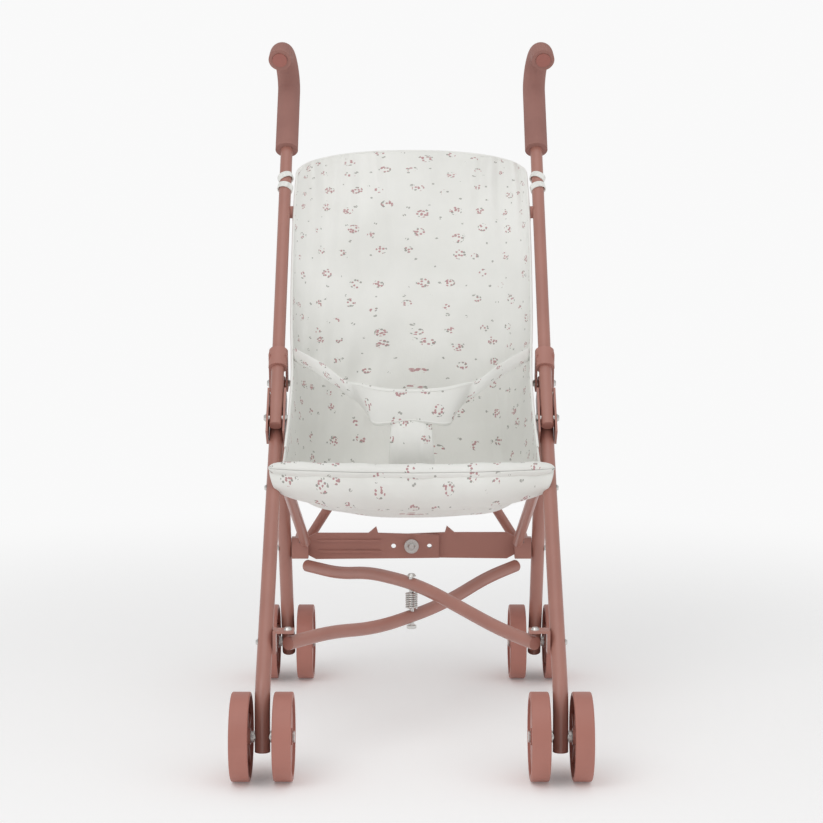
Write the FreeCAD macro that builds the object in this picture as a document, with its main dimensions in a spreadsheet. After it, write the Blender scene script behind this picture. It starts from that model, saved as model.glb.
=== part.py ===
"""Doll stroller: two side frames, crossing tubes, a folding lock bar, a sling seat and twin wheels.

Millimetres. +X is the right of a person who faces the front of the seat, +Y points to the pusher, +Z is up.
The profile of a side frame is drawn with Y = 0 on the front axle, and stand_y then centres it.
"""
import FreeCAD, Part

import math
import os

from FreeCAD import Placement, Rotation, Vector

SIZES = {
    "stand_y": -174.6,
    "side_x": 105.4,
    "leg_radius": 5.5,
    "tube_radius": 5.0,
    "brace_radius": 4.0,
    "rail_radius": 4.25,
    "grip_radius": 9.5,
    "grip_bore": 5.05,
    "plug_radius": 6.2,
    "hook_radius": 20.0,
    "hook_drop": 30.0,
    "hook_splay": 8.0,
    "handle_lean": 37.8,
    "collar_radius": 7.4,
    "collar_length": 16.0,
    "plate_gap": 5.7,
    "plate_thick": 1.6,
    "pin_radius": 2.0,
    "wheel_radius": 31.5,
    "tread_round": 1.2,
    "wheel_width": 13.5,
    "wheel_offset": 8.3,
    "rim_wall": 2.6,
    "web_thick": 2.0,
    "web_recess": 1.6,
    "hub_radius": 6.0,
    "hub_bore": 2.55,
    "axle_radius": 2.5,
    "spacer_radius": 4.2,
    "rib_thick": 1.8,
    "rib_count": 5,
    "bar_height": 22.0,
    "bar_thick": 3.0,
    "spring_radius": 4.0,
    "spring_wire": 0.75,
    "cloth_thick": 4.0,
    "strap_thick": 2.4,
    "running_gap": 0.05,
}

FRONT_AXLE = (0.0, 31.5)
REAR_AXLE = (311.0, 31.5)
HANDLE_FOOT = (161.2, 234.7)
HINGE_PIN = (165.4, 240.1)
LEG_TOP = (188.0, 244.0)
REAR_TOP = (205.2, 263.5)
RAIL_FRONT = (133.0, 190.0)
RAIL_REAR = (262.0, 126.0)
CROSS_FRONT = (34.0, 91.5)
CROSS_REAR = (268.0, 105.0)
CROSS_MIDDLE = 151.0
LINK_Z = 120.0
LINK_X = 88.0
BACK_LOW_Z, BACK_HIGH_Z = 121.0, 398.0
BACK_X = 88.0
BRACE_Y = {"left": 302.5, "right": 311.5}
HOOK_Z = 500.0
TIE_Z = 422.0

doc = FreeCAD.newDocument("doll_stroller")
sheet = doc.addObject("Spreadsheet::Sheet", "sizes")
for row, (word, number) in enumerate(SIZES.items(), start=1):
    sheet.set(f"A{row}", word)
    sheet.set(f"B{row}", str(number))
    sheet.setAlias(f"B{row}", word)
doc.recompute()
nodes = {}


def size(word):
    """A driving dimension, read back from the sheet."""
    return float(getattr(sheet, word))


def turn_to(direction):
    return Rotation(Vector(0, 0, 1), Vector(*direction))


def rod(name, start, end, radius_word):
    """A round bar between two points, its radius bound to the sheet."""
    bar = doc.addObject("Part::Cylinder", name)
    line = Vector(*end) - Vector(*start)
    bar.setExpression("Radius", f"sizes.{radius_word}")
    bar.Height = line.Length
    bar.Placement = Placement(Vector(*start), turn_to(line))
    return bar


def plate(name, centre, spans, turn=None):
    """A box of the given spans about its centre, turned about X when asked."""
    box = doc.addObject("Part::Box", name)
    box.Length, box.Width, box.Height = spans
    rotation = Rotation(Vector(1, 0, 0), turn or 0.0)
    corner = rotation.multVec(Vector(*spans) * -0.5)
    box.Placement = Placement(Vector(*centre) + corner, rotation)
    return box


def fuse(name, pieces):
    joined = doc.addObject("Part::MultiFuse", name)
    joined.Shapes = pieces
    joined.Refine = False
    return joined


def cut(name, base, tool):
    result = doc.addObject("Part::Cut", name)
    result.Base, result.Tool = base, tool
    return result


def group(name, pieces):
    """Several separate solids of one kind, kept in one sub-part."""
    kept = doc.addObject("Part::Compound", name)
    kept.Links = pieces
    return kept


def shape_of(name, shape):
    """A piece whose shape comes straight from Part's own functions."""
    feature = doc.addObject("Part::Feature", name)
    feature.Shape = shape
    return feature


def keep(name, item):
    """Names a finished sub-part and stands it over the frame's origin."""
    item.Label = name
    item.setExpression(".Placement.Base.y", f"{item.Placement.Base.y} mm + sizes.stand_y * 1 mm")
    nodes[name] = item


def rounded_path(points, share=0.45):
    """Straight runs joined by tangent arcs, each as large as its two runs allow."""
    points = [Vector(*p) for p in points]
    edges = []
    last = points[0]
    for before, here, after in zip(points, points[1:], points[2:]):
        reach = share * min((before - here).Length, (after - here).Length)
        back = (before - here).normalize()
        ahead = (after - here).normalize()
        half = back.getAngle(ahead) / 2
        radius = reach * math.tan(half)
        inward = (back + ahead).normalize()
        start, end = here + back * reach, here + ahead * reach
        middle = here + inward * (radius / math.sin(half) - radius)
        edges.append(Part.LineSegment(last, start).toShape())
        edges.append(Part.Arc(start, middle, end).toShape())
        last = end
    edges.append(Part.LineSegment(last, points[-1]).toShape())
    return Part.Wire(edges)


def swept(path, radius):
    """A solid round tube along a path."""
    start = path.Edges[0].valueAt(path.Edges[0].FirstParameter)
    along = path.Edges[0].tangentAt(path.Edges[0].FirstParameter)
    ring = Part.Wire(Part.makeCircle(radius, start, along))
    solid = path.makePipeShell([ring], True, False)
    expected = math.pi * radius * radius * path.Length
    if abs(solid.Volume - expected) > 0.02 * expected:
        raise RuntimeError(f"a swept tube has volume {solid.Volume:.0f}, not {expected:.0f}")
    return solid


def band(points, thick, low_x, high_x):
    """A strip of even thickness that follows a line in the YZ plane, spanned across X."""
    line = [Vector(low_x, y, z) for y, z in points]
    normals = []
    for i, here in enumerate(line):
        along = (line[min(i + 1, len(line) - 1)] - line[max(i - 1, 0)]).normalize()
        normals.append(Vector(0, -along.z, along.y) * (thick / 2))
    ring = [p + n for p, n in zip(line, normals)] + [p - n for p, n in zip(line[::-1], normals[::-1])]
    face = Part.Face(Part.makePolygon(ring + [ring[0]]))
    return face.extrude(Vector(high_x - low_x, 0, 0))


def handle_point(z):
    """The handle tube's centreline at a height."""
    return HANDLE_FOOT[0] + (z - HANDLE_FOOT[1]) * math.tan(math.radians(size("handle_lean")))


def hook_path(x, outward, start_z, tail):
    """The handle's line from a height, over the hook at its top, to the open end."""
    lean = math.radians(size("handle_lean"))
    radius = size("hook_radius")
    foot = Vector(x, handle_point(HOOK_Z), HOOK_Z)
    up = Vector(0, math.sin(lean), math.cos(lean))
    forward = Vector(0, -math.cos(lean), math.sin(lean))
    centre = foot + forward * radius
    total = lean + math.pi / 2 + math.radians(size("hook_drop"))

    def on_arc(angle):
        return centre - forward * (radius * math.cos(angle)) + up * (radius * math.sin(angle))

    end = on_arc(total)
    out_way = (forward * math.sin(total) + up * math.cos(total)).normalize()
    start = Vector(x, handle_point(start_z), start_z)
    edges = [
        Part.LineSegment(start, foot).toShape(),
        Part.Arc(foot, on_arc(total / 2), end).toShape(),
        Part.LineSegment(end, end + out_way * tail).toShape(),
    ]
    wire = Part.Wire(edges)
    wire.rotate(foot, up, outward * size("hook_splay"))
    return wire


def wheel(name, x, inward, axle):
    """A moulded wheel: a closed face outside, a rim, a hub and ribs that stiffen the hollow side."""
    width = size("wheel_width")
    y, z = axle
    face_x = x - inward * width / 2

    def disc(tag, near, far, radius_word):
        return rod(f"{name}_{tag}", (face_x + inward * near, y, z), (face_x + inward * far, y, z), radius_word)

    tread = doc.addObject("Part::Fillet", f"{name}_tread")
    tread.Base = disc("blank", 0, width, "wheel_radius")
    doc.recompute()
    rims = [i for i, edge in enumerate(tread.Base.Shape.Edges, start=1) if edge.Closed and edge.Length > 100]
    tread.Edges = [(i, size("tread_round"), size("tread_round")) for i in rims]
    hollow_near = size("web_recess") + size("web_thick")
    hollow = disc("hollow", hollow_near, width + 1, "wheel_radius")
    hollow.setExpression("Radius", "sizes.wheel_radius - sizes.rim_wall")
    dish = disc("dish", -1, size("web_recess"), "wheel_radius")
    dish.setExpression("Radius", "sizes.wheel_radius - sizes.rim_wall - 1.4")
    shell = cut(f"{name}_shell", cut(f"{name}_open", tread, hollow), dish)
    hub = disc("hub", 0.4, width, "hub_radius")
    ribs = []
    for number in range(int(size("rib_count"))):
        angle = 360.0 * number / size("rib_count")
        reach = size("wheel_radius") - size("rim_wall") / 2
        rib = doc.addObject("Part::Box", f"{name}_rib{number}")
        rib.Length = width - hollow_near - 1.5
        rib.setExpression("Width", "sizes.rib_thick")
        rib.Height = reach
        turn = Rotation(Vector(1, 0, 0), angle)
        near_x = face_x + inward * hollow_near
        corner = Vector(min(near_x, near_x + inward * rib.Length.Value), y, z)
        corner += turn.multVec(Vector(0, -size("rib_thick") / 2, 0))
        rib.Placement = Placement(corner, turn)
        ribs.append(rib)
    bore = disc("bore", -2, width + 2, "hub_bore")
    keep(name, cut(f"{name}_bored", fuse(f"{name}_body", [shell, hub] + ribs), bore))


def screw(name, centre, outward, radius=2.6, height=1.6):
    """A low domed head with its flat face at the centre given."""
    head = doc.addObject("Part::Cone", name)
    head.Radius1, head.Radius2, head.Height = radius, radius * 0.6, height
    head.Placement = Placement(Vector(*centre), turn_to(outward))
    return head


def axle(name, x, place):
    """A pin through the leg with a spacer each side and a push nut on each end."""
    y, z = place
    reach = size("wheel_offset") + size("wheel_width") - 0.4
    pin = rod(f"{name}_pin", (x - reach, y, z), (x + reach, y, z), "axle_radius")
    parts = [pin]
    for way in (-1, 1):
        inner = x + way * (size("leg_radius") + 0.2)
        outer = x + way * (size("wheel_offset") - 0.3)
        parts.append(rod(f"{name}_spacer{way}", (inner, y, z), (outer, y, z), "spacer_radius"))
        face = x + way * (size("wheel_offset") + size("wheel_width") - 0.2)
        nut = rod(f"{name}_nut{way}", (face, y, z), (face + way * 1.2, y, z), "spacer_radius")
        stub = rod(f"{name}_stub{way}", (x + way * (reach - 0.5), y, z), (face + way * 0.6, y, z), "axle_radius")
        parts += [nut, stub]
    keep(name, fuse(f"{name}_all", parts))


def side_frame(side, way):
    """Everything that belongs to one side and slides inwards together as the stroller folds."""
    x = way * size("side_x")
    gap = size("plate_gap")
    thick = size("plate_thick")
    inner = x - way * (gap + thick / 2)

    # The tube runs inside the grip and stops short of its end, where the plug sits.
    whole = hook_path(x, way, HANDLE_FOOT[1], 3.0)
    tube = shape_of(f"{side}_handle_sweep", swept(whole, size("tube_radius")))
    pin_hole = rod(f"{side}_hinge_hole", (x - 12, *HINGE_PIN), (x + 12, *HINGE_PIN), "pin_radius")
    pin_hole.setExpression("Radius", "sizes.pin_radius + sizes.running_gap")
    keep(f"{side}_handle_tube", cut(f"{side}_handle_cut", tube, pin_hole))

    sleeve = swept(hook_path(x, way, 450.0, 8.0), size("grip_radius"))
    sleeve = sleeve.cut(swept(hook_path(x, way, 448.0, 9.0), size("grip_bore")))
    end_path = hook_path(x, way, 450.0, 8.0)
    end_edge = end_path.Edges[-1]
    end_at = end_edge.valueAt(end_edge.LastParameter)
    end_way = (end_at - end_edge.valueAt(end_edge.FirstParameter)).normalize()
    seat = Part.makeCylinder(size("plug_radius") + 0.1, 3.2, end_at - end_way * 2.6, end_way)
    keep(f"{side}_grip", shape_of(f"{side}_grip_sleeve", sleeve.cut(seat)))
    plug = rod(f"{side}_plug_disc", end_at - end_way * 2.4, end_at + end_way * 0.8, "plug_radius")
    keep(f"{side}_grip_plug", plug)

    # The collar clamps the handle tube and carries the rear leg between two cheeks.
    lean = math.radians(size("handle_lean"))
    along = Vector(0, math.sin(lean), math.cos(lean))
    middle = Vector(x, handle_point(283.0), 283.0)
    half = size("collar_length") / 2
    ring = rod(f"{side}_collar_ring", middle - along * half, middle + along * half, "collar_radius")
    cheeks = []
    for face in (-1, 1):
        at = (x + face * (gap + thick / 2 + 0.1), (middle.y + REAR_TOP[0]) / 2 + 2.0, (283.0 + REAR_TOP[1]) / 2)
        cheeks.append(plate(f"{side}_cheek{face}", at, (thick, 11.0, 31.0), 14.0))
    bored = rod(f"{side}_collar_bore", middle - along * 20, middle + along * 30, "grip_bore")
    collar = cut(f"{side}_collar_cut", fuse(f"{side}_collar_all", [ring] + cheeks), bored)
    pivot = rod(f"{side}_leg_hole", (x - 12, *REAR_TOP), (x + 12, *REAR_TOP), "pin_radius")
    pivot.setExpression("Radius", "sizes.pin_radius + sizes.running_gap")
    keep(f"{side}_collar", cut(f"{side}_collar_drilled", collar, pivot))

    # Two flat plates straddle the handle's foot and the top of the front leg.
    plates = []
    for face in (-1, 1):
        at = (x + face * (gap + thick / 2), 173.5, 241.0)
        plates.append(plate(f"{side}_hinge_plate{face}", at, (thick, 17.0, 42.0), -42.0))
    drilled = [rod(f"{side}_plate_hole", (x - 12, *HINGE_PIN), (x + 12, *HINGE_PIN), "pin_radius")]
    drilled[0].setExpression("Radius", "sizes.pin_radius + sizes.running_gap")
    pair = group(f"{side}_plate_pair", plates)
    keep(f"{side}_hinge_plates", cut(f"{side}_plates_drilled", pair, drilled[0]))

    pins = []
    for word, place in (("hinge", HINGE_PIN), ("leg", REAR_TOP)):
        reach = gap + thick + 0.2
        shank = rod(f"{side}_{word}_shank", (x - reach, *place), (x + reach, *place), "pin_radius")
        heads = [
            screw(f"{side}_{word}_head{face}", (x + face * reach, *place), (face, 0, 0), 3.2, 1.8)
            for face in (-1, 1)
        ]
        pins.append(fuse(f"{side}_{word}_rivet", [shank] + heads))
    keep(f"{side}_hinge_rivets", group(f"{side}_rivets", pins))

    # Front leg: a long raked run and a short upright foot that holds the axle.
    foot_z = 20.6
    path = rounded_path([(x, 0.0, foot_z), (x, 0.0, 59.0), (x, *LEG_TOP)])
    leg = shape_of(f"{side}_front_sweep", swept(path, size("leg_radius")))
    hole = rod(f"{side}_front_hole", (x - 12, *FRONT_AXLE), (x + 12, *FRONT_AXLE), "axle_radius")
    hole.setExpression("Radius", "sizes.axle_radius + sizes.running_gap")
    keep(f"{side}_front_leg", cut(f"{side}_front_drilled", leg, hole))

    slope = Vector(0, REAR_AXLE[0] - REAR_TOP[0], REAR_AXLE[1] - REAR_TOP[1]).normalize()
    top = Vector(x, *REAR_TOP) - slope * 4.5
    bottom = Vector(x, *REAR_AXLE) + slope * 10.5
    rear = rod(f"{side}_rear_rod", top, bottom, "leg_radius")
    holes = []
    for word, place in (("axle", REAR_AXLE), ("pin", REAR_TOP)):
        drill = rod(f"{side}_rear_{word}_hole", (x - 12, *place), (x + 12, *place), f"{word}_radius")
        drill.setExpression("Radius", f"sizes.{word}_radius + sizes.running_gap")
        holes.append(drill)
    keep(f"{side}_rear_leg", cut(f"{side}_rear_drilled", rear, fuse(f"{side}_rear_holes", holes)))

    # The seat rail ties the front leg to the rear bracket, just inside the legs.
    rail_front = (x - way * 10.4, *RAIL_FRONT)
    rail_rear = (x - way * 17.4, *RAIL_REAR)
    keep(f"{side}_seat_rail", rod(f"{side}_rail_rod", rail_front, rail_rear, "rail_radius"))

    # Rear bracket: a block beside the rear leg that carries the lock bar and the crossing tube.
    block = plate(f"{side}_rear_block", (x - way * 12.6, 271.5, 117.6), (13.6, 9.0, 13.0))
    saddle = plate(f"{side}_rear_saddle", (x - way * 8.6, 271.5, 120.0), (6.0, 9.0, 17.0))
    pivot_x = way * LINK_X
    stud = rod(f"{side}_link_stud", (pivot_x, 275.5, LINK_Z), (pivot_x, 284.4, LINK_Z), "pin_radius")
    stud_head = screw(f"{side}_link_head", (pivot_x, 284.3, LINK_Z), (0, 1, 0), 3.4, 1.6)
    stay = plate(f"{side}_rear_stay", (x - way * 8.6, 293.0, LINK_Z), (2.4, 46.0, 12.0))
    stay_ends = (x - way * 9.0, BRACE_Y[side], 124.0), (x - way * 13.4, BRACE_Y[side], 124.0)
    stay_pin = rod(f"{side}_stay_pin", *stay_ends, "pin_radius")
    bracket = fuse(f"{side}_rear_body", [block, saddle, stay, stay_pin, stud, stud_head])
    keep(f"{side}_rear_bracket", bracket)

    # Front bracket: an angle whose roof reaches over the end of the crossing tube.
    leg_y, leg_z = 33.5, 92.0
    web = plate(f"{side}_front_web", (x - way * 6.9, leg_y, leg_z + 0.9), (2.2, 13.0, 16.8))
    roof = plate(f"{side}_front_roof", (x - way * 13.4, leg_y, leg_z + 8.4), (15.2, 13.0, 1.8))
    keep(f"{side}_front_bracket", fuse(f"{side}_front_angle", [web, roof]))

    bolts = [
        screw(f"{side}_bolt_rail", (x + way * 5.2, *RAIL_FRONT), (way, 0, 0)),
        screw(f"{side}_bolt_front", (x + way * 5.2, leg_y, leg_z), (way, 0, 0)),
        screw(f"{side}_bolt_rear", (x + way * 5.2, 269.5, LINK_Z), (way, 0, 0)),
        screw(f"{side}_bolt_roof", (way * 89.0, leg_y, leg_z + 9.3), (0, 0, 1), 3.2, 1.8),
    ]
    keep(f"{side}_frame_bolts", group(f"{side}_bolts", bolts))

    # Clip that takes the top end of the back brace, on the rear of the handle tube.
    clip_y = handle_point(BACK_HIGH_Z)
    top_y = BRACE_Y["right" if side == "left" else "left"]
    clamp = plate(f"{side}_clip_block", (x - way * 3.0, clip_y + 5.0, BACK_HIGH_Z), (8.0, 9.0, 10.0))
    tongue = plate(f"{side}_clip_stay", (x - way * 8.0, 305.5, 394.0), (3.2, 21.0, 12.0))
    pin_ends = (x - way * 9.0, top_y, 394.0), (x - way * 13.4, top_y, 394.0)
    clip_pin = rod(f"{side}_clip_pin", *pin_ends, "pin_radius")
    hold = fuse(f"{side}_clip_body", [clamp, tongue, clip_pin])
    clip_bore = rod(
        f"{side}_clip_bore",
        (x, handle_point(380.0), 380.0),
        (x, handle_point(415.0), 415.0),
        "grip_bore",
    )
    keep(f"{side}_brace_clip", cut(f"{side}_clip_cut", hold, clip_bore))

    # Cloth tie wound round the handle tube at the top corner of the seat.
    tie_mid = Vector(x, handle_point(TIE_Z), TIE_Z)
    wound = rod(f"{side}_tie_roll", tie_mid - along * 9, tie_mid + along * 9, "collar_radius")
    tie_bore = rod(f"{side}_tie_bore", tie_mid - along * 12, tie_mid + along * 12, "grip_bore")
    keep(f"{side}_tie", cut(f"{side}_tie_cut", wound, tie_bore))

    for end, place in (("front", FRONT_AXLE), ("rear", REAR_AXLE)):
        axle(f"{side}_{end}_axle", x, place)
        centre = size("wheel_offset") + size("wheel_width") / 2
        wheel(f"{side}_{end}_outer_wheel", x + way * centre, -way, place)
        wheel(f"{side}_{end}_inner_wheel", x - way * centre, way, place)


def crossing_tubes():
    """Two bent tubes that cross under the seat, one above the other, on a sprung upright bolt."""
    reach = CROSS_REAR[0] - CROSS_FRONT[0]

    def line(way, heights):
        points = []
        for share, z in heights:
            y = CROSS_REAR[0] - share * reach
            points.append((way * (-86.6 + share * 175.6), y, z))
        return points

    upper = line(1, [(0.0, 105.0), (0.16, 105.4), (0.3, 112.5), (0.52, 112.8), (0.86, 94.6), (1.0, 91.0)])
    lower = line(-1, [(0.0, 105.0), (0.14, 101.5), (0.36, 88.5), (0.64, 84.3), (0.84, 91.2), (1.0, 91.0)])
    for name, points in (("upper_cross_tube", upper), ("lower_cross_tube", lower)):
        tube = shape_of(f"{name}_sweep", swept(rounded_path(points, 0.48), size("tube_radius")))
        drill = rod(f"{name}_drill", (0, CROSS_MIDDLE, 70), (0, CROSS_MIDDLE, 130), "pin_radius")
        drill.setExpression("Radius", "sizes.pin_radius + sizes.running_gap")
        keep(name, cut(f"{name}_drilled", tube, drill))

    bolt = rod("cross_bolt_shank", (0, CROSS_MIDDLE, 78.0), (0, CROSS_MIDDLE, 118.5), "pin_radius")
    head = screw("cross_bolt_head", (0, CROSS_MIDDLE, 118.3), (0, 0, 1), 3.6, 2.0)
    nut = doc.addObject("Part::Prism", "cross_bolt_nut")
    nut.Polygon, nut.Circumradius, nut.Height = 6, 3.8, 2.6
    nut.Placement.Base = Vector(0, CROSS_MIDDLE, 77.0)
    keep("cross_bolt", fuse("cross_bolt_all", [bolt, head, nut]))

    turns, low, high = 7, 93.1, 105.2
    coil = Part.makeHelix((high - low) / turns, high - low, size("spring_radius"))
    start = Vector(size("spring_radius"), 0, 0)
    ring = Part.Wire(Part.makeCircle(size("spring_wire"), start, Vector(0, 1, 0)))
    spring = Part.Wire(coil.Edges).makePipeShell([ring], True, True)
    spring.translate(Vector(0, CROSS_MIDDLE, low))
    keep("cross_spring", shape_of("cross_spring_coil", spring))


def lock_bar():
    """Two flat bars that hold the sides apart and fold upwards in the middle."""
    height = size("bar_height")
    thick = size("bar_thick")
    for side, way, near_y, tip in (("left", -1, 277.0, 23.0), ("right", 1, 280.4, 9.0)):
        outline = [
            (-LINK_X - 5.0, -4.0), (-LINK_X - 5.0, 4.0), (-LINK_X + 8.0, height / 2),
            (-36.0, height / 2), (-29.5, height / 2 + 5.5), (-28.0, height / 2),
            (tip, height / 2 - 1.5), (tip, -height / 2 + 1.0), (-LINK_X + 8.0, -height / 2),
        ]
        ring = [Vector(-way * u, near_y, LINK_Z + v) for u, v in outline]
        face = Part.Face(Part.makePolygon(ring + [ring[0]]))
        bar = face.extrude(Vector(0, thick, 0))
        holes = [(-LINK_X, size("pin_radius") + size("running_gap")), (-15.0, 2.0)]
        if side == "left":
            holes.append((15.0, 2.0))
        for u, radius in holes:
            start = Vector(-way * u, near_y - 1, LINK_Z)
            bar = bar.cut(Part.makeCylinder(radius, thick + 2, start, Vector(0, 1, 0)))
        if side == "left":
            for rise in (-4.5, 4.5):
                low = Vector(min(way * 78.0, way * 26.0), near_y - 1.2, LINK_Z + rise - 1.1)
                bar = bar.fuse(Part.makeBox(52.0, 1.4, 2.2, low))
        keep(f"{side}_lock_bar", shape_of(f"{side}_lock_shape", bar.removeSplitter()))
    boss = rod("lock_rivet_boss", (0, 275.4, LINK_Z), (0, 277.0, LINK_Z), "hub_radius")
    head = screw("lock_rivet_head", (0, 275.4, LINK_Z), (0, -1, 0), 3.4, 1.8)
    keep("lock_rivet", fuse("lock_rivet_all", [boss, head]))


def back_braces():
    """Two straight tubes that cross behind the seat, from a rear bracket to the other side's handle."""
    for side, way in (("left", -1), ("right", 1)):
        y = BRACE_Y[side]
        low, high = (way * BACK_X, y, BACK_LOW_Z), (-way * BACK_X, y, BACK_HIGH_Z)
        tube = rod(f"{side}_brace_rod", low, high, "brace_radius")
        middle = (BACK_LOW_Z + BACK_HIGH_Z) / 2
        drill = rod(f"{side}_brace_drill", (0, 290, middle), (0, 325, middle), "pin_radius")
        drill.setExpression("Radius", "sizes.pin_radius + sizes.running_gap")
        keep(f"{side}_back_brace", cut(f"{side}_brace_drilled", tube, drill))
    middle = (BACK_LOW_Z + BACK_HIGH_Z) / 2
    shank = rod("back_pivot_shank", (0, 298.0, middle), (0, 316.0, middle), "pin_radius")
    heads = [
        screw("back_pivot_front", (0, 298.2, middle), (0, -1, 0), 3.6, 1.8),
        screw("back_pivot_rear", (0, 315.8, middle), (0, 1, 0), 3.6, 1.8),
    ]
    keep("back_pivot", fuse("back_pivot_all", [shank] + heads))


def soft_parts():
    """Plain closed solids of the sling seat and its harness."""
    cloth = size("cloth_thick")
    upper = [(324.0, 444.0), (291.0, 402.0), (267.0, 352.0), (246.0, 300.0), (238.0, 264.0)]
    lower = upper[-1:] + [
        (235.0, 225.0), (228.0, 191.0), (212.0, 171.0), (186.0, 164.5), (160.0, 174.0), (143.0, 192.0),
    ]
    back = band(upper, cloth, -96.5, 96.5)
    seat = band(lower, cloth, -80.5, 80.5)
    gusset = [
        (143.0, 192.0), (160.0, 174.0), (186.0, 164.5), (212.0, 171.0), (228.0, 191.0), (235.0, 225.0),
        (238.0, 264.0), (246.0, 300.0), (222.0, 304.0), (190.0, 262.0), (152.0, 214.0),
    ]
    walls = []
    for low_x in (-80.5, 77.5):
        ring = [Vector(low_x, y, z) for y, z in gusset]
        walls.append(Part.Face(Part.makePolygon(ring + [ring[0]])).extrude(Vector(3.0, 0, 0)))
    sling = back.multiFuse([seat] + walls).removeSplitter()
    keep("seat_sling", shape_of("seat_sling_cloth", sling))

    edge_line = [(126.0, 203.0), (130.0, 188.0)]
    edge = band(edge_line, 9.0, -109.0, 109.0)
    for way in (-1, 1):
        x = way * size("side_x")
        for near, far, word in (
            ((x, 0.0, 59.0), (x, *LEG_TOP), "leg_radius"),
            ((x - way * 10.4, *RAIL_FRONT), (x - way * 17.4, *RAIL_REAR), "rail_radius"),
        ):
            near, far = Vector(*near), Vector(*far)
            along = (far - near).normalize()
            edge = edge.cut(Part.makeCylinder(size(word) + 0.4, 320, near - along * 6, along))
    keep("seat_front_edge", shape_of("seat_edge_cloth", edge))

    strap = size("strap_thick")
    plan = [(-77.0, 205.0), (-38.0, 176.0), (38.0, 176.0), (77.0, 205.0)]
    outer = [Vector(px, y, 240.0) for px, y in plan]
    inner = [Vector(px, y + strap, 240.0) for px, y in plan[::-1]]
    face = Part.Face(Part.makePolygon(outer + inner + [outer[0]]))
    keep("waist_belt", shape_of("waist_belt_cloth", face.extrude(Vector(0, 0, 24.0))))
    tongue = [(176.5, 239.5), (173.0, 214.0), (178.0, 188.0), (184.0, 168.0)]
    keep("crotch_strap", shape_of("crotch_cloth", band(tongue, strap, -15.0, 15.0)))


for side_name, side_way in (("left", -1), ("right", 1)):
    side_frame(side_name, side_way)
crossing_tubes()
lock_bar()
back_braces()
soft_parts()
doc.recompute()

for item in doc.Objects:
    if "Invalid" in item.State or "Error" in item.State:
        raise RuntimeError(f"{item.Name} is {item.State}")
whole = None
for name, item in nodes.items():
    if item.Shape.isNull() or not item.Shape.isValid() or not item.Shape.Solids:
        raise RuntimeError(f"{name} has no sound shape")
    whole = item.Shape.BoundBox if whole is None else whole.united(item.Shape.BoundBox)
os.makedirs("parts", exist_ok=True)
for name, item in nodes.items():
    item.Shape.exportStep(os.path.join("parts", f"{name}.step"))
print(f"{len(nodes)} sub-parts, box {whole}")
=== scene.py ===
# %% [markdown]
# # A doll stroller around its metal frame
# The metal and plastic parts come ready made as a fixed frame. This script adds the soft goods, which are a
# sling seat, its front edge, a waist belt, a crotch strap and two ties, and gives every surface its finish.

# %% Load the frame
import math

import bmesh
import bpy
import numpy as np
from mathutils import Euler, Matrix, Vector


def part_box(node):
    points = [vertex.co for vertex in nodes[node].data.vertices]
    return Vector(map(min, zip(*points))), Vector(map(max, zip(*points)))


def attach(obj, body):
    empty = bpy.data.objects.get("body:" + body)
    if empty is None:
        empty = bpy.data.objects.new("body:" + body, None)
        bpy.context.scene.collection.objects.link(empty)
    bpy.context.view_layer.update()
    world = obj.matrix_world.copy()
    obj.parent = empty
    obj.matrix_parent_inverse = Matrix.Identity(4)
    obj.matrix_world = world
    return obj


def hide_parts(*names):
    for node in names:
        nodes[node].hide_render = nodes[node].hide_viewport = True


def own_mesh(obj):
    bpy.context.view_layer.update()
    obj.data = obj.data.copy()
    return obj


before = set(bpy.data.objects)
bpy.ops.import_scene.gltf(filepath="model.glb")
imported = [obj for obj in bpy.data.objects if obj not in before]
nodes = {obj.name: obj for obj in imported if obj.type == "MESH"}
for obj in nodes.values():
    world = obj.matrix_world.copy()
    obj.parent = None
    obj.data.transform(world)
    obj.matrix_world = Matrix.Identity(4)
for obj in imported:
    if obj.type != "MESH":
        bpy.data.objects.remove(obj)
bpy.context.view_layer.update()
scene = bpy.context.scene
MM = 0.001
SIDE_X = 105.4
HANDLE_LEAN = math.radians(37.8)
HANDLE_FOOT = (161.2, 234.7)
CROSS_END_X = 89.0
CROSS_END = (34.0, 91.0)
AXLE_Y = (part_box("left_front_axle")[0].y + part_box("left_front_axle")[1].y) / 2
print("nodes", len(nodes), "front axle at", round(AXLE_Y, 4))


def at(x, y, z):
    """A point from millimetres, with y counted from the front axle as the side frames are drawn."""
    return Vector((x * MM, AXLE_Y + y * MM, z * MM))


# %% [markdown]
# ## Camera
# A toy like this is looked at from seat height. A long lens keeps the two side frames nearly parallel, and
# a small tilt down shows the top of the seat.

# %% Camera
camera_data = bpy.data.cameras.new("studio_camera")
camera = bpy.data.objects.new("studio_camera", camera_data)
scene.collection.objects.link(camera)
camera_data.sensor_width = 36.0
camera_data.lens = 89.7
camera_data.clip_start = 0.01
camera.location = at(0.0, -1417.7, 412.9)
camera.rotation_euler = Euler((math.radians(90.0 - 6.05), 0.0, 0.0))
scene.camera = camera
print("camera at", [round(v, 3) for v in camera.location])

# %% [markdown]
# ## Studio
# The floor is plain and pale. Three large soft lights and a bright surround leave soft shading on the
# tubes. The surround is drawn brighter to the camera than the light it gives, so that the backdrop is
# nearly white.

# %% Floor and lights
floor_mesh = bpy.data.meshes.new("studio_floor")
shape = bmesh.new()
bmesh.ops.create_grid(shape, x_segments=2, y_segments=2, size=30.0)
shape.to_mesh(floor_mesh)
shape.free()
floor = bpy.data.objects.new("studio_floor", floor_mesh)
scene.collection.objects.link(floor)


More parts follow.
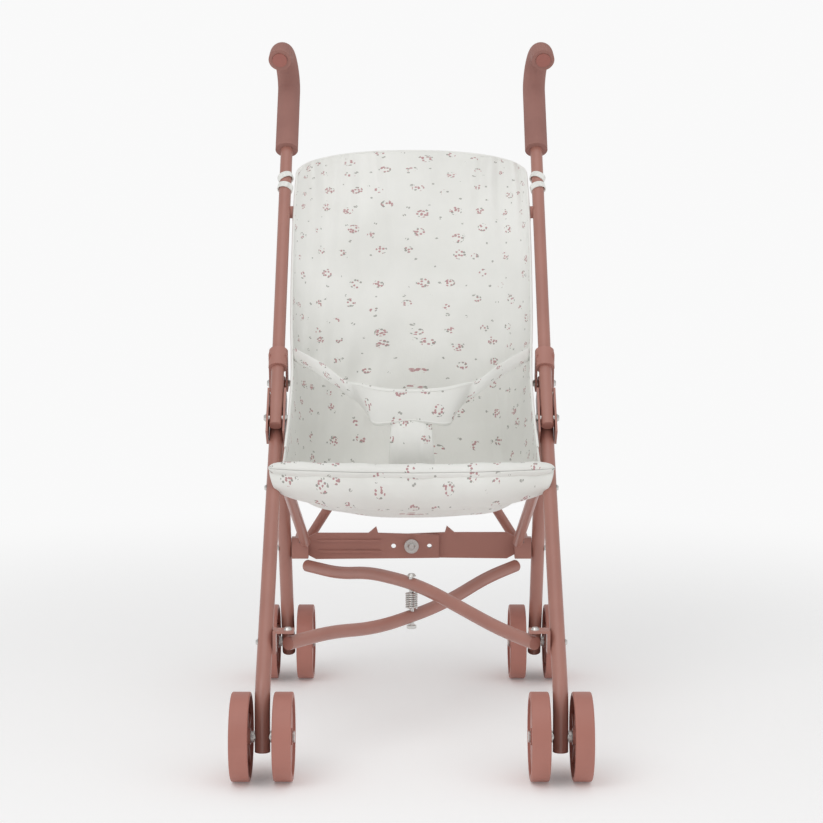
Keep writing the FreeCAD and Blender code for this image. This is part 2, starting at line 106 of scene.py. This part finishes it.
def soft_light(name, place, aim, width, watts):
    data = bpy.data.lights.new(name, "AREA")
    data.size = width
    data.energy = watts
    light = bpy.data.objects.new(name, data)
    scene.collection.objects.link(light)
    light.location = place
    light.rotation_euler = (Vector(aim) - Vector(place)).to_track_quat("-Z", "Y").to_euler()


BACKDROP_GLOW = 0.95
soft_light("key_light", (-1.1, -1.5, 1.8), (0.0, 0.0, 0.25), 1.3, 9.0)
soft_light("fill_light", (1.4, -1.2, 1.1), (0.0, 0.0, 0.25), 1.4, 2.8)
soft_light("top_light", (0.0, -0.5, 2.0), (0.0, 0.0, 0.2), 1.6, 5.0)
world = bpy.data.worlds.new("studio_surround")
scene.world = world
world.use_nodes = True
backdrop = world.node_tree.nodes["Background"]
backdrop.inputs["Color"].default_value = (1.0, 1.0, 1.0, 1.0)
seen = world.node_tree.nodes.new("ShaderNodeLightPath").outputs["Is Camera Ray"]
brighter = world.node_tree.nodes.new("ShaderNodeMapRange")
brighter.inputs["To Min"].default_value = 0.62
brighter.inputs["To Max"].default_value = BACKDROP_GLOW
world.node_tree.links.new(seen, brighter.inputs["Value"])
world.node_tree.links.new(brighter.outputs["Result"], backdrop.inputs["Strength"])
scene.view_settings.view_transform = "Standard"
print("lights", 3)

# %% [markdown]
# ## Finishes
# Each finish is a small node graph on one Principled shader. Helpers keep the graphs short: one makes the
# material, one adds a node, and one turns a height into a bump.

# %% Material helpers


def finish(name, colour, roughness, specular=0.5):
    """A new material, its node tree and its Principled shader."""
    material = bpy.data.materials.new(name)
    material.use_nodes = True
    tree = material.node_tree
    shader = tree.nodes["Principled BSDF"]
    shader.inputs["Base Color"].default_value = (*colour, 1.0)
    shader.inputs["Roughness"].default_value = roughness
    shader.inputs["Specular IOR Level"].default_value = specular
    return material, tree, shader


def add(tree, kind, inputs=None, **settings):
    """Adds a node, sets its properties, then sets or links its inputs."""
    node = tree.nodes.new(kind)
    for word, value in settings.items():
        setattr(node, word, value)
    for word, value in (inputs or {}).items():
        if isinstance(value, bpy.types.NodeSocket):
            tree.links.new(value, node.inputs[word])
        else:
            node.inputs[word].default_value = value
    return node


def maths(tree, operation, first, second=0.0):
    """One Math node, from numbers or sockets."""
    return add(tree, "ShaderNodeMath", {0: first, 1: second}, operation=operation).outputs[0]


def blend_colour(tree, share, first, second):
    """A colour part way between two."""
    node = add(tree, "ShaderNodeMix", {"Factor": share}, data_type="RGBA")
    for socket, value in ((node.inputs[6], first), (node.inputs[7], second)):
        if isinstance(value, bpy.types.NodeSocket):
            tree.links.new(value, socket)
        else:
            socket.default_value = (*value, 1.0)
    return node.outputs[2]


def bump(tree, shader, height, depth, strength=1.0):
    """Turns a height into a bump on the shader."""
    node = add(tree, "ShaderNodeBump", {"Height": height, "Distance": depth, "Strength": strength})
    tree.links.new(node.outputs["Normal"], shader.inputs["Normal"])


def noise(tree, place, scale, detail):
    inputs = {"Vector": place, "Scale": scale, "Detail": detail}
    return add(tree, "ShaderNodeTexNoise", inputs).outputs["Fac"]


def stretch(tree, value):
    """Spreads the middle of a noise over the whole range from 0 to 1."""
    inputs = {"Value": value, "From Min": 0.3, "From Max": 0.7}
    return add(tree, "ShaderNodeMapRange", inputs).outputs["Result"]


def mottled(name, light, dark, roughness, grain, depth, rough_spread=0.08):
    """A solid finish whose colour drifts a little, with a fine grain in its surface."""
    material, tree, shader = finish(name, light, roughness)
    place = add(tree, "ShaderNodeTexCoord").outputs["Object"]
    drift = noise(tree, place, 28.0, 3.0)
    tree.links.new(blend_colour(tree, stretch(tree, drift), dark, light), shader.inputs["Base Color"])
    shine = add(
        tree,
        "ShaderNodeMapRange",
        {"Value": drift, "To Min": roughness - rough_spread, "To Max": roughness + rough_spread},
    )
    tree.links.new(shine.outputs["Result"], shader.inputs["Roughness"])
    bump(tree, shader, noise(tree, place, grain, 4.0), depth)
    return material


# %% [markdown]
# ### Painted tube, moulded plastic, foam and steel
# The tubes are powder coated, so they shine softly and have a faint orange peel. The moulded parts are the
# same dusty rose but flatter. The grips are foam with small open pores. The bolts are plated, with fine
# brushing.

# %% Hard finishes
paint = mottled("rose_powder_coat", (0.41, 0.186, 0.147), (0.37, 0.164, 0.129), 0.36, 900.0, 0.00005)
paint.node_tree.nodes["Principled BSDF"].inputs["Coat Weight"].default_value = 0.25
paint.node_tree.nodes["Principled BSDF"].inputs["Coat Roughness"].default_value = 0.25
moulded = mottled("rose_moulding", (0.43, 0.198, 0.160), (0.39, 0.176, 0.142), 0.46, 1400.0, 0.00006)
tyre = mottled("rose_wheel_plastic", (0.46, 0.19, 0.15), (0.41, 0.166, 0.13), 0.44, 1100.0, 0.00008)
foam = mottled("rose_grip_foam", (0.35, 0.168, 0.14), (0.30, 0.14, 0.117), 0.74, 2600.0, 0.00022, 0.05)
plug_plastic = mottled("rose_plug", (0.36, 0.13, 0.105), (0.33, 0.115, 0.092), 0.5, 900.0, 0.00004)


def plated_steel():
    material, tree, shader = finish("plated_steel", (0.66, 0.65, 0.63), 0.28)
    shader.inputs["Metallic"].default_value = 1.0
    place = add(tree, "ShaderNodeTexCoord").outputs["Object"]
    stretched = add(tree, "ShaderNodeMapping", {"Vector": place, "Scale": (300.0, 300.0, 2600.0)}).outputs[0]
    scratch = noise(tree, stretched, 1.0, 2.0)
    shine = add(tree, "ShaderNodeMapRange", {"Value": scratch, "To Min": 0.2, "To Max": 0.42})
    tree.links.new(shine.outputs["Result"], shader.inputs["Roughness"])
    bump(tree, shader, scratch, 0.00003)
    return material


steel = plated_steel()
print("hard finishes", 6)

# %% [markdown]
# ### Printed cotton
# The cloth is a loosely woven off-white cotton. Small sprigs are scattered over it, each a loose cluster of
# pink and grey green dots. One coarse cell pattern places the sprigs and a fine one inside them makes the
# dots, so nothing repeats. The weave is two crossed waves, and a soft noise gives the crinkle of washed
# muslin.

# %% Printed cotton


def printed_cotton():
    material, tree, shader = finish("printed_cotton", (0.80, 0.80, 0.765), 0.86, 0.25)
    shader.inputs["Sheen Weight"].default_value = 0.25
    shader.inputs["Sheen Roughness"].default_value = 0.5
    flat = add(tree, "ShaderNodeUVMap", uv_map="cloth").outputs[0]

    def sprigs(spacing, low, high, offset, keep):
        """1 where a dot is printed, and a tint that falls towards the rim of its sprig."""
        moved = add(tree, "ShaderNodeVectorMath", {0: flat, 1: offset}, operation="ADD").outputs[0]
        coarse = add(
            tree,
            "ShaderNodeTexVoronoi",
            {"Vector": moved, "Scale": 1.0 / spacing, "Randomness": 0.62},
            voronoi_dimensions="2D",
        )
        chance = add(tree, "ShaderNodeSeparateColor", {"Color": coarse.outputs["Color"]}).outputs
        reach = add(
            tree,
            "ShaderNodeMapRange",
            {"Value": chance[0], "To Min": low / spacing, "To Max": high / spacing},
        ).outputs["Result"]
        inside = maths(tree, "LESS_THAN", coarse.outputs["Distance"], reach)
        fine = add(
            tree,
            "ShaderNodeTexVoronoi",
            {"Vector": moved, "Scale": 1.0 / 0.0023, "Randomness": 0.85},
            voronoi_dimensions="2D",
        )
        speck = add(tree, "ShaderNodeSeparateColor", {"Color": fine.outputs["Color"]}).outputs
        dot = maths(tree, "LESS_THAN", fine.outputs["Distance"], 0.44)
        kept = maths(tree, "GREATER_THAN", speck[0], keep)
        mask = maths(tree, "MULTIPLY", maths(tree, "MULTIPLY", inside, dot), kept)
        rim = maths(tree, "DIVIDE", coarse.outputs["Distance"], reach)
        return mask, maths(tree, "SUBTRACT", speck[1], rim)

    large, large_tint = sprigs(0.0250, 0.0030, 0.0052, (0.0, 0.0, 0.0), 0.34)
    small, _ = sprigs(0.0215, 0.0010, 0.0018, (0.31, 0.17, 0.0), 0.15)
    pink = maths(tree, "GREATER_THAN", large_tint, -0.42)
    ink = blend_colour(tree, pink, (0.25, 0.25, 0.215), (0.44, 0.17, 0.185))
    place = add(tree, "ShaderNodeTexCoord").outputs["Object"]
    tone = stretch(tree, noise(tree, place, 16.0, 4.0))
    cloth = blend_colour(tree, tone, (0.80, 0.80, 0.762), (0.88, 0.88, 0.845))
    printed = blend_colour(tree, maths(tree, "MULTIPLY", large, 0.78), cloth, ink)
    printed = blend_colour(tree, maths(tree, "MULTIPLY", small, 0.7), printed, (0.27, 0.26, 0.23))
    tree.links.new(printed, shader.inputs["Base Color"])
    threads = []
    for way in ("X", "Y"):
        wave = add(
            tree,
            "ShaderNodeTexWave",
            {"Vector": flat, "Scale": 420.0, "Distortion": 0.6, "Detail": 1.0},
            bands_direction=way,
        )
        threads.append(wave.outputs["Fac"])
    weave = maths(tree, "MAXIMUM", threads[0], threads[1])
    crinkle = noise(tree, place, 75.0, 5.0)
    height = maths(tree, "ADD", maths(tree, "MULTIPLY", weave, 0.12), crinkle)
    bump(tree, shader, height, 0.0014, 0.55)
    return material


def plain_cotton():
    """The same cloth with no print, for the ties and the turned hems."""
    material, tree, shader = finish("plain_cotton", (0.80, 0.80, 0.77), 0.88, 0.25)
    shader.inputs["Sheen Weight"].default_value = 0.25
    place = add(tree, "ShaderNodeTexCoord").outputs["Object"]
    rib = noise(tree, place, 700.0, 3.0)
    cloud = noise(tree, place, 30.0, 3.0)
    cloth = blend_colour(tree, cloud, (0.79, 0.79, 0.755), (0.87, 0.87, 0.835))
    tree.links.new(cloth, shader.inputs["Base Color"])
    bump(tree, shader, rib, 0.0004, 0.7)
    return material


cotton = printed_cotton()
hem_cotton = plain_cotton()

# %% Put the hard finishes on the frame
FINISH_OF = (
    ("wheel", tyre), ("plug", plug_plastic), ("grip", foam), ("collar", moulded), ("bracket", moulded),
    ("lock_bar", moulded), ("clip", moulded), ("rivet", steel), ("bolt", steel), ("axle", steel),
    ("spring", steel), ("pivot", steel),
)
for name, node in nodes.items():
    chosen = next((material for word, material in FINISH_OF if word in name), paint)
    node.data.materials.clear()
    node.data.materials.append(chosen)
    if "wheel" in name:
        for polygon in node.data.polygons:
            polygon.use_smooth = False

for name in ("left_hinge_plates", "right_hinge_plates", "left_front_bracket", "right_front_bracket"):
    nodes[name].data.materials[0] = paint
print("finished nodes", len(nodes))

# %% [markdown]
# ## Helpers for the soft goods
# Every panel of cloth starts as a flat grid from bmesh. Its points are then moved onto a surface that a
# function describes, its UV map keeps about the flat size of the cloth, and Solidify and Subdivision give
# it body.

# %% Soft goods helpers


def smooth_curve(knots, values, wanted):
    """Reads a smooth curve through a few points, one column at a time."""
    knots, values = np.array(knots, float), np.array(values, float)
    slopes = np.gradient(values, knots, axis=0)
    found = np.clip(np.searchsorted(knots, wanted, side="right") - 1, 0, len(knots) - 2)
    span = knots[found + 1] - knots[found]
    t = ((wanted - knots[found]) / span)[:, None]
    first, last = values[found], values[found + 1]
    run = span[:, None]
    return (
        first * (2 * t**3 - 3 * t**2 + 1)
        + last * (3 * t**2 - 2 * t**3)
        + slopes[found] * run * (t**3 - 2 * t**2 + t)
        + slopes[found + 1] * run * (t**3 - t**2)
    )


def cloth_piece(name, across, along, flat, place, thick, material):
    """A grid of cloth whose points place(u, v) sets, with u from -1 to 1 and v from 0 to 1."""
    shape = bmesh.new()
    uv = shape.loops.layers.uv.new("cloth")
    bmesh.ops.create_grid(shape, x_segments=across, y_segments=along, size=1.0, calc_uvs=True)
    u = np.array([vert.co.x for vert in shape.verts])
    v = np.array([(vert.co.y + 1) / 2 for vert in shape.verts])
    points = place(u, v)
    for vert, point in zip(shape.verts, points):
        vert.co = at(*point)
    for face in shape.faces:
        face.smooth = True
        for loop in face.loops:
            loop[uv].uv = (loop[uv].uv.x * flat[0], loop[uv].uv.y * flat[1])
    mesh = bpy.data.meshes.new(name)
    shape.to_mesh(mesh)
    shape.free()
    piece = bpy.data.objects.new(name, mesh)
    scene.collection.objects.link(piece)
    mesh.materials.append(material)
    body_of_cloth = piece.modifiers.new("thickness", "SOLIDIFY")
    body_of_cloth.thickness = thick
    body_of_cloth.offset = 0.0
    rounding = piece.modifiers.new("rounding", "SUBSURF")
    rounding.levels = 1
    rounding.render_levels = 1
    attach(piece, "seat")
    return piece


def piping(name, points, radius, material):
    """A sewn edge: a thin round cord of cloth along a smooth line, made a mesh at the end."""
    curve = bpy.data.curves.new(name, "CURVE")
    curve.dimensions = "3D"
    curve.bevel_depth = radius
    curve.bevel_resolution = 3
    curve.use_fill_caps = True
    spline = curve.splines.new("NURBS")
    spline.points.add(len(points) - 1)
    for knot, point in zip(spline.points, points):
        knot.co = (*point, 1.0)
    spline.order_u = 3
    spline.use_endpoint_u = True
    spline.resolution_u = 4
    maker = bpy.data.objects.new(name + "_line", curve)
    scene.collection.objects.link(maker)
    bpy.context.view_layer.update()
    mesh = bpy.data.meshes.new_from_object(maker.evaluated_get(bpy.context.evaluated_depsgraph_get()))
    bpy.data.objects.remove(maker)
    mesh.name = name
    mesh.materials.clear()
    mesh.materials.append(material)
    for polygon in mesh.polygons:
        polygon.use_smooth = True
    piece = bpy.data.objects.new(name, mesh)
    scene.collection.objects.link(piece)
    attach(piece, "seat")
    return piece


def gathers_with_fold(piece):
    """Updates the scene and gives the piece its own copy of its mesh."""
    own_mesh(piece)


# %% [markdown]
# ## The sling seat
# One long panel hangs between the handle tubes and the seat rails. Its middle sags behind its edges: a
# shallow hollow down the back, and a deep bucket at the seat, where the sides stand up as walls. Each row
# is a superellipse between the two edges, rounder at the top and nearly square at the seat. Soft upright
# creases run down the back, because the cloth is a little wider than the frame.

# %% The sling seat
ROWS = (0.0, 0.14, 0.28, 0.42, 0.54, 0.64, 0.73, 0.82, 0.91, 1.0)
MIDDLE_LINE = (
    (331, 449), (302, 408), (274, 356), (254, 304), (243, 262),
    (237, 222), (224, 185), (197, 164), (162, 165), (133, 186),
)
EDGE_LINE = (
    (312, 429), (294, 405), (258, 360), (221, 311), (200, 286),
    (183, 264), (166, 243), (152, 226), (140, 213), (131, 203),
)
HALF_WIDTH = ((96.0,), (97.0,), (97.0,), (96.0,), (94.5,), (94.0,), (95.0,), (96.5,), (97.5,), (99.0,))
SQUARENESS = ((2.2,), (2.0,), (2.0,), (2.2,), (2.7,), (3.3,), (3.8,), (3.6,), (3.0,), (2.6,))
CREASES = (
    (-0.66, 0.055, 4.4), (-0.47, 0.03, 2.8), (-0.33, 0.04, 4.0), (-0.16, 0.025, 3.0), (0.05, 0.05, 2.2),
    (0.36, 0.03, 2.8), (0.50, 0.04, 4.6), (0.68, 0.045, 3.4),
)


def sling_surface(u, v):
    middle = smooth_curve(ROWS, MIDDLE_LINE, v)
    edge = smooth_curve(ROWS, EDGE_LINE, v)
    half = smooth_curve(ROWS, HALF_WIDTH, v)[:, 0]
    power = 2.0 / smooth_curve(ROWS, SQUARENESS, v)[:, 0]
    angle = u * math.pi / 2
    x = half * np.sign(u) * np.abs(np.sin(angle)) ** power
    depth = np.abs(np.cos(angle)) ** power
    y = edge[:, 0] + (middle[:, 0] - edge[:, 0]) * depth
    z = edge[:, 1] + (middle[:, 1] - edge[:, 1]) * depth
    fade = np.clip((0.74 - v) / 0.3, 0, 1) * (0.55 + 0.45 * np.cos(v * 9.0))
    for where, width, height in CREASES:
        drift = where + 0.035 * np.sin(v * 7.0 + where * 9.0)
        offset = (u - drift) / width
        ridge = np.exp(-(offset**2)) - 0.6 * np.exp(-((offset - 1.8) ** 2))
        y -= height * ridge * fade
    ripple = np.sin(u * 11.0 + 2.0 * np.sin(v * 13.0)) * np.sin(v * 17.0 + u * 5.0)
    y -= 1.3 * ripple * (1 - np.abs(u) ** 4)
    z += 1.4 * ripple * np.clip((v - 0.6) / 0.2, 0, 1) * (1 - np.abs(u) ** 4)
    return np.stack([x, y, z], axis=1)


sling = cloth_piece("sling_seat", 96, 110, (0.26, 0.50), sling_surface, 0.0022, cotton)
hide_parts("seat_sling")
gathers_with_fold(sling)


def sling_point(u, v):
    return sling_surface(np.array([float(u)]), np.array([float(v)]))[0]


hem_line = [at(*sling_point(-1.0, v)) for v in np.linspace(0.86, 0.0, 40)]
hem_line += [at(*sling_point(u, 0.0)) for u in np.linspace(-0.98, 0.98, 40)]
hem_line += [at(*sling_point(1.0, v)) for v in np.linspace(0.0, 0.86, 40)]
hem = piping("sling_hem", hem_line, 0.0011, hem_cotton)
gathers_with_fold(hem)
print("sling points", len(sling.data.vertices))

# %% [markdown]
# ## The front edge
# A rolled, lightly stuffed edge crosses in front of the legs, with an apron below it that turns under
# towards the seat. The roll sags a little in the middle and its ends are rounded off.

# %% The front edge


APRON_STOPS = (0.0, 0.25, 0.5, 0.75, 1.0)
APRON_LINE = ((125.5, 205), (122.5, 198), (124.0, 189), (131.0, 181.5), (141.0, 178.5))


def front_roll(u, v):
    around = v * 2 * math.pi
    taper = np.clip(1 - np.abs(u) ** 10, 0, 1) ** 0.5
    sag = 3.0 * (1 - u**2)
    lump = 1 + 0.06 * np.sin(u * 14.0 + 1.0) + 0.04 * np.sin(u * 31.0)
    y = 127.0 - 5.4 * lump * taper * np.cos(around)
    z = 206.0 - sag + 5.6 * lump * taper * np.sin(around)
    return np.stack([109.0 * u, y, z], axis=1)


def apron(u, v):
    drop = smooth_curve(APRON_STOPS, APRON_LINE, v)
    ends = np.abs(u) ** 6
    sag = 3.0 * (1 - u**2) + 4.0 * v * (1 - u**2)
    half = 108.5 - 13.0 * v**2
    wave = 0.8 * np.sin(u * 9.0 + 0.7) * np.sin(v * 4.0) + 0.5 * np.sin(u * 23.0) * v
    y = drop[:, 0] + 5.0 * ends * (1 - v) + wave
    z = drop[:, 1] - sag + 7.0 * ends * v
    return np.stack([half * u, y, z], axis=1)


roll = cloth_piece("front_roll", 90, 20, (0.22, 0.036), front_roll, 0.0012, cotton)
gathers_with_fold(roll)
front_apron = cloth_piece("front_apron", 90, 18, (0.22, 0.036), apron, 0.0022, cotton)
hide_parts("seat_front_edge")
gathers_with_fold(front_apron)
seam_line = [at(*point) for point in apron(np.linspace(-0.97, 0.97, 40), np.full(40, 0.2))]
seam = piping("apron_seam", seam_line, 0.0006, hem_cotton)
gathers_with_fold(seam)

# %% [markdown]
# ## The belt
# A padded belt crosses the seat, with a narrow strap from each end up to the side of the frame, and a
# crotch strap from its middle down to the seat. They are flat, so each is a ribbon with its own width along
# the way.

# %% The belt
BELT_STOPS = (-1.0, -0.72, -0.42, -0.3, 0.0, 0.3, 0.42, 0.72, 1.0)
BELT_LINE = (
    (-93, 203, 287), (-70, 186, 276), (-46, 171, 258.5), (-37, 167, 251.5), (0, 163, 250), (37, 167, 251.5),
    (46, 171, 258.5), (70, 186, 276), (93, 203, 287),
)
BELT_HALF = ((5.0,), (5.2,), (7.5,), (13.5,), (12.8,), (13.5,), (7.5,), (5.2,), (5.0,))


def belt(u, v):
    line = smooth_curve(BELT_STOPS, BELT_LINE, u)
    half = smooth_curve(BELT_STOPS, BELT_HALF, u)[:, 0]
    side = (v - 0.5) * 2
    end = np.exp(-(((np.abs(u) - 0.35) / 0.12) ** 2))
    x = line[:, 0] * (1 - 0.20 * end * (1 - v))
    z = line[:, 2] + half * side + 2.0 * end * side
    fold = np.exp(-(((np.abs(u) - 0.43) / 0.035) ** 2))
    y = line[:, 1] - 1.2 * (1 - side**2) + 0.7 * np.sin(u * 16.0) * side + 3.4 * fold * (1 - 0.4 * side)
    return np.stack([x, y, z], axis=1)


def crotch(u, v):
    line = smooth_curve((0.0, 0.3, 0.65, 1.0), ((164.5, 242), (158.0, 224), (161.0, 196), (172.0, 171)), v)
    half = 15.5 + 5.5 * np.clip(v - 0.1, 0, 1)
    curl = 5.0 * u**2 * (1 - v)
    fold = 1.2 * np.exp(-(((np.abs(u) - 0.55) / 0.12) ** 2)) * np.sin(np.clip(v * 1.3, 0, 1) * math.pi)
    return np.stack([half * u, line[:, 0] + curl - fold, line[:, 1]], axis=1)


waist = cloth_piece("padded_belt", 96, 12, (0.24, 0.03), belt, 0.0026, cotton)
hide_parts("waist_belt")
gathers_with_fold(waist)
tongue = cloth_piece("crotch_pad", 24, 36, (0.042, 0.09), crotch, 0.0030, cotton)
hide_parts("crotch_strap")
gathers_with_fold(tongue)
for number, height in enumerate((0.07, 0.93)):
    across = np.linspace(-0.40, 0.40, 30)
    points = belt(across, np.full(30, height))
    points[:, 1] -= 1.4
    stitch = piping(f"belt_stitch_{number}", [at(*p) for p in points], 0.00045, hem_cotton)
    gathers_with_fold(stitch)
print("belt and crotch strap made")

# %% [markdown]
# ## The ties
# A cotton tape at each top corner is wound twice round the handle tube. Each turn is a flat ring, spun from
# a small rectangle and tipped.

# %% The ties
TAPE_INNER, TAPE_OUTER, TAPE_HALF = 5.3, 6.5, 2.6


def tape_ring(name, centre, way, tip, body):
    """One turn of tape: a flat ring round the handle tube, tipped sideways by some degrees."""
    shape = bmesh.new()
    low, high = -TAPE_HALF, TAPE_HALF
    corners = ((TAPE_INNER, 0, low), (TAPE_OUTER, 0, low), (TAPE_OUTER, 0, high), (TAPE_INNER, 0, high))
    shape.faces.new([shape.verts.new(corner) for corner in corners])
    bmesh.ops.spin(
        shape, geom=shape.verts[:] + shape.edges[:] + shape.faces[:], axis=(0, 0, 1), cent=(0, 0, 0),
        angle=2 * math.pi, steps=32, use_merge=True,
    )
    bmesh.ops.remove_doubles(shape, verts=shape.verts, dist=0.001)
    start = [
        face
        for face in shape.faces
        if len(face.edges) == 4 and abs(face.normal.y) > 0.999 and abs(face.calc_center_median().y) < 1e-4
    ]
    bmesh.ops.delete(shape, geom=start, context="FACES_ONLY")
    bmesh.ops.scale(shape, verts=shape.verts, vec=(MM, MM, MM))
    turn = Matrix.Rotation(-HANDLE_LEAN, 4, "X") @ Matrix.Rotation(math.radians(tip) * way, 4, "Y")
    bmesh.ops.transform(shape, matrix=Matrix.Translation(centre) @ turn, verts=shape.verts)
    bmesh.ops.recalc_face_normals(shape, faces=shape.faces)
    for face in shape.faces:
        face.smooth = True
    mesh = bpy.data.meshes.new(name)
    shape.to_mesh(mesh)
    shape.free()
    mesh.materials.append(hem_cotton)
    ring = bpy.data.objects.new(name, mesh)
    scene.collection.objects.link(ring)
    edge = ring.modifiers.new("edge", "BEVEL")
    edge.width = 0.0004
    edge.segments = 2
    edge.limit_method = "ANGLE"
    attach(ring, body)
    return ring


for side, way in (("left", -1), ("right", 1)):
    low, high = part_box(f"{side}_tie")
    centre = (low + high) / 2
    up = Vector((0, math.sin(HANDLE_LEAN), math.cos(HANDLE_LEAN)))
    first = tape_ring(f"{side}_tie_high", centre + up * 0.0052, way, 20.0, f"{side}_side")
    tape_ring(f"{side}_tie_low", centre - up * 0.0052, way, -12.0, f"{side}_side")
    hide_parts(f"{side}_tie")

# %% [markdown]
# ## Tube ends
# The front ends of the crossing tubes and the lower ends of the handle tubes hold a pressed cap with a
# small hollow in its middle.

# %% Tube ends
CAP_RADIUS = 0.0048
CAP_STEP = 0.0004


def tube_cap(name, centre, facing, radius, body):
    """A raised cap with a shallow hollow: a disc, inset three times and pushed in."""
    shape = bmesh.new()
    bmesh.ops.create_circle(shape, segments=32, radius=radius, cap_ends=True)
    face = list(shape.faces)
    bmesh.ops.inset_region(shape, faces=face, thickness=radius * 0.22, depth=radius * 0.16)
    bmesh.ops.inset_region(shape, faces=face, thickness=radius * 0.48, depth=0.0)
    bmesh.ops.inset_region(shape, faces=face, thickness=radius * 0.02, depth=-radius * 0.15)
    turn = Vector(facing).to_track_quat("Z", "Y").to_matrix().to_4x4()
    bmesh.ops.transform(shape, matrix=Matrix.Translation(centre) @ turn, verts=shape.verts)
    bmesh.ops.solidify(shape, geom=shape.faces[:], thickness=0.0003)
    bmesh.ops.recalc_face_normals(shape, faces=shape.faces)
    mesh = bpy.data.meshes.new(name)
    shape.to_mesh(mesh)
    shape.free()
    mesh.materials.append(moulded)
    cap = bpy.data.objects.new(name, mesh)
    scene.collection.objects.link(cap)
    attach(cap, body)
    return cap


for side, way in (("left", -1), ("right", 1)):
    foot = Vector((0.0, -math.sin(HANDLE_LEAN), -math.cos(HANDLE_LEAN)))
    end = at(way * SIDE_X, *HANDLE_FOOT)
    tube_cap(f"{side}_handle_foot_cap", end + foot * CAP_STEP, foot, CAP_RADIUS, f"{side}_side")
upper_aim = Vector((175.6, -234.0, -18.0)).normalized()
lower_aim = Vector((-175.6, -234.0, 0.0)).normalized()
for word, way, aim in (("upper", 1, upper_aim), ("lower", -1, lower_aim)):
    end = at(way * CROSS_END_X, *CROSS_END)
    tube_cap(f"{word}_cross_cap", end + aim * CAP_STEP, aim, CAP_RADIUS, f"{word}_cross")
print("tube caps", 4)

# %% [markdown]
# ## Finish the floor
# The floor is nearly white, so that the stroller stands on its own soft shadow. A metre away it turns into
# an even glow, which meets the white surround with no horizon.

# %% Floor finish
floor_material, floor_tree, floor_shader = finish("studio_floor", (0.95, 0.95, 0.95), 0.9, 0.1)
floor_mesh.materials.append(floor_material)
floor_shader.inputs["Emission Color"].default_value = (1.0, 1.0, 1.0, 1.0)
floor_shader.inputs["Emission Strength"].default_value = 0.1
floor_place = add(floor_tree, "ShaderNodeTexCoord").outputs["Object"]
far_off = add(floor_tree, "ShaderNodeVectorMath", {0: floor_place}, operation="LENGTH").outputs["Value"]
haze = add(floor_tree, "ShaderNodeMapRange", {"Value": far_off, "From Min": 0.35, "From Max": 1.1})
haze.interpolation_type = "SMOOTHSTEP"
glow = add(floor_tree, "ShaderNodeEmission", {"Strength": BACKDROP_GLOW})
halves = {0: haze.outputs["Result"], 1: floor_shader.outputs[0], 2: glow.outputs[0]}
blend = add(floor_tree, "ShaderNodeMixShader", halves)
floor_tree.links.new(blend.outputs[0], floor_tree.nodes["Material Output"].inputs["Surface"])
print("floor finished")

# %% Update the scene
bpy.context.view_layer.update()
